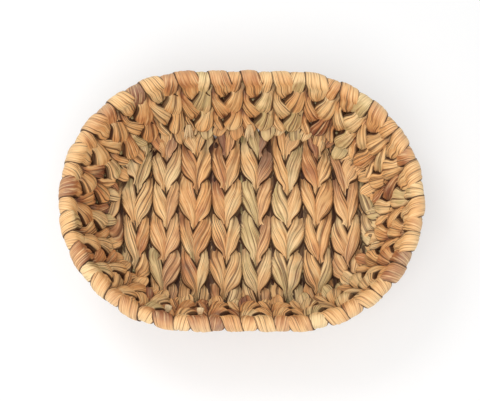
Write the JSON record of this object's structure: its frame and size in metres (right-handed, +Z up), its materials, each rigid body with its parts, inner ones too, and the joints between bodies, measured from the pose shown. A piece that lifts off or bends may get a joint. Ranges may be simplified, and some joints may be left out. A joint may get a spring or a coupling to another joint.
{
  "type": "basket",
  "caption": "Oval woven basket of dried plant strips twined round a welded wire frame, with flared sides and an open top.",
  "frame": {"origin": "middle of the underside, where the basket stands", "axes": "+X along the length, +Y across towards the back, +Z up out of the open top"},
  "size_m": [0.2506, 0.1854, 0.0689],
  "materials": {
    "hyacinth": "dry, fibrous, slightly waxy",
    "wire": "lacquered straw colour"
  },
  "bodies": {
    "root": {"back_wall_twines_01": "hyacinth", "back_wall_twines_02": "hyacinth", "back_wall_twines_03": "hyacinth", "base_hoop": "wire", "base_twine_01": "hyacinth", "base_twine_02": "hyacinth", "base_twine_03": "hyacinth", "base_twine_04": "hyacinth", "base_twine_05": "hyacinth", "base_twine_06": "hyacinth", "base_twine_07": "hyacinth", "base_twine_08": "hyacinth", "base_twine_09": "hyacinth", "base_twine_10": "hyacinth", "base_twine_11": "hyacinth", "base_twine_12": "hyacinth", "base_twine_13": "hyacinth", "base_twine_14": "hyacinth", "base_twine_15": "hyacinth", "base_twine_16": "hyacinth", "base_twine_17": "hyacinth", "base_twine_18": "hyacinth", "base_wire_1": "wire", "base_wire_2": "wire", "base_wire_3": "wire", "base_wire_4": "wire", "cross_rib_left": "wire", "cross_rib_middle": "wire", "cross_rib_right": "wire", "foot_hoop": "wire", "front_wall_twines_01": "hyacinth", "front_wall_twines_02": "hyacinth", "front_wall_twines_03": "hyacinth", "left_uprights": "wire", "left_wall_twines_01": "hyacinth", "left_wall_twines_02": "hyacinth", "left_wall_twines_03": "hyacinth", "left_wall_twines_04": "hyacinth", "left_wall_twines_05": "hyacinth", "left_wall_twines_06": "hyacinth", "left_wall_twines_07": "hyacinth", "left_wall_twines_08": "hyacinth", "left_wall_twines_09": "hyacinth", "left_wall_twines_10": "hyacinth", "left_wall_twines_11": "hyacinth", "mid_hoop": "wire", "right_uprights": "wire", "right_wall_twines_01": "hyacinth", "right_wall_twines_02": "hyacinth", "right_wall_twines_03": "hyacinth", "right_wall_twines_04": "hyacinth", "right_wall_twines_05": "hyacinth", "right_wall_twines_06": "hyacinth", "right_wall_twines_07": "hyacinth", "right_wall_twines_08": "hyacinth", "right_wall_twines_09": "hyacinth", "right_wall_twines_10": "hyacinth", "right_wall_twines_11": "hyacinth", "rim_hoop": "wire"}
  },
  "joints": []
}
